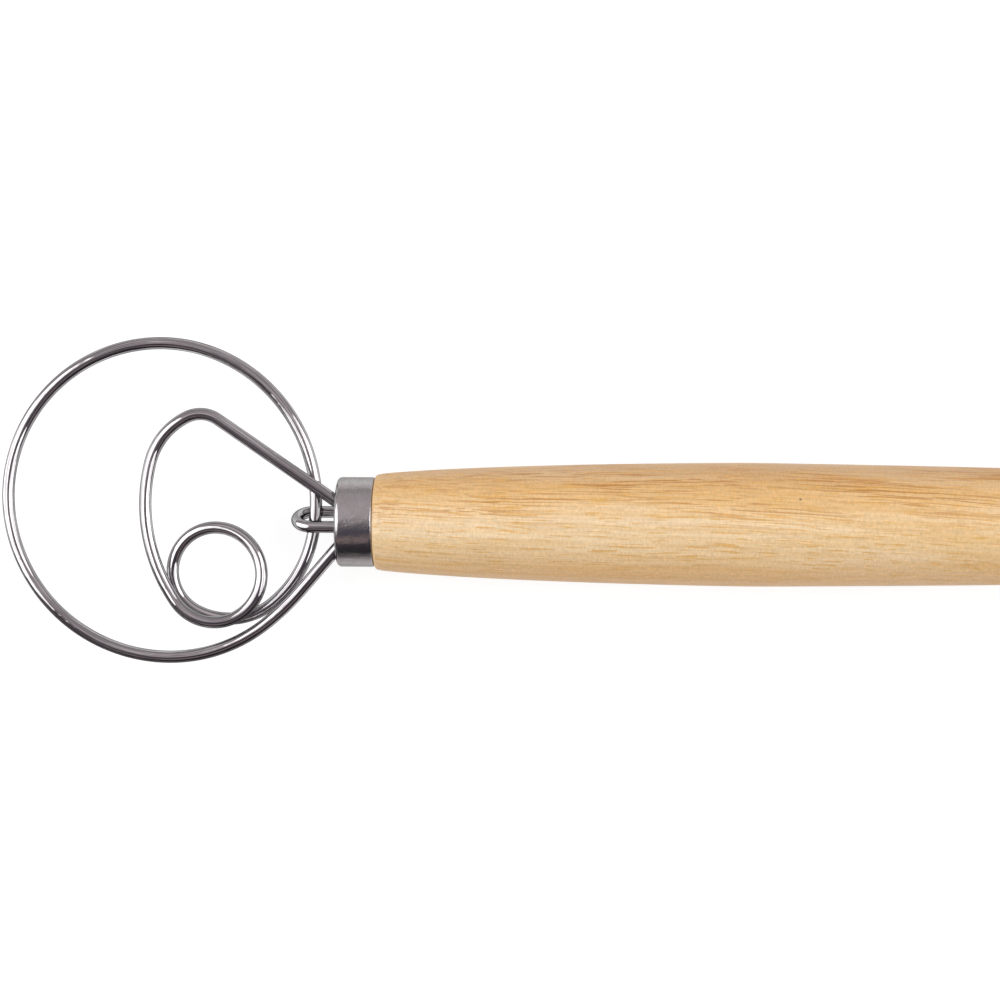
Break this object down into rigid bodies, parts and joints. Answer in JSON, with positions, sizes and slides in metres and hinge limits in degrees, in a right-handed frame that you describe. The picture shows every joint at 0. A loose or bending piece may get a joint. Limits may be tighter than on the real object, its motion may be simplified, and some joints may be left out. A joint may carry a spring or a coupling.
{
  "type": "dough whisk",
  "caption": "Hand whisk for stiff dough: turned wooden handle, steel ferrule and a flat spiral head bent from one round wire, held by a hairpin eye.",
  "frame": {"origin": "middle of the hanging hole, on the handle's axis", "axes": "+X along the handle towards its butt end, the head towards -X; +Z square to the flat head; +Y in the plane of the head"},
  "size_m": [0.3397, 0.0739, 0.0278],
  "materials": {
    "handle_wood": "satin, fine sanded, unvarnished pale hardwood",
    "ferrule_steel": "satin drawn stainless steel",
    "wire_steel": "polished stainless wire"
  },
  "bodies": {
    "root": {"handle": "handle_wood", "ferrule": "ferrule_steel", "whisk_wire": "wire_steel", "retaining_eye": "wire_steel"}
  },
  "joints": []
}
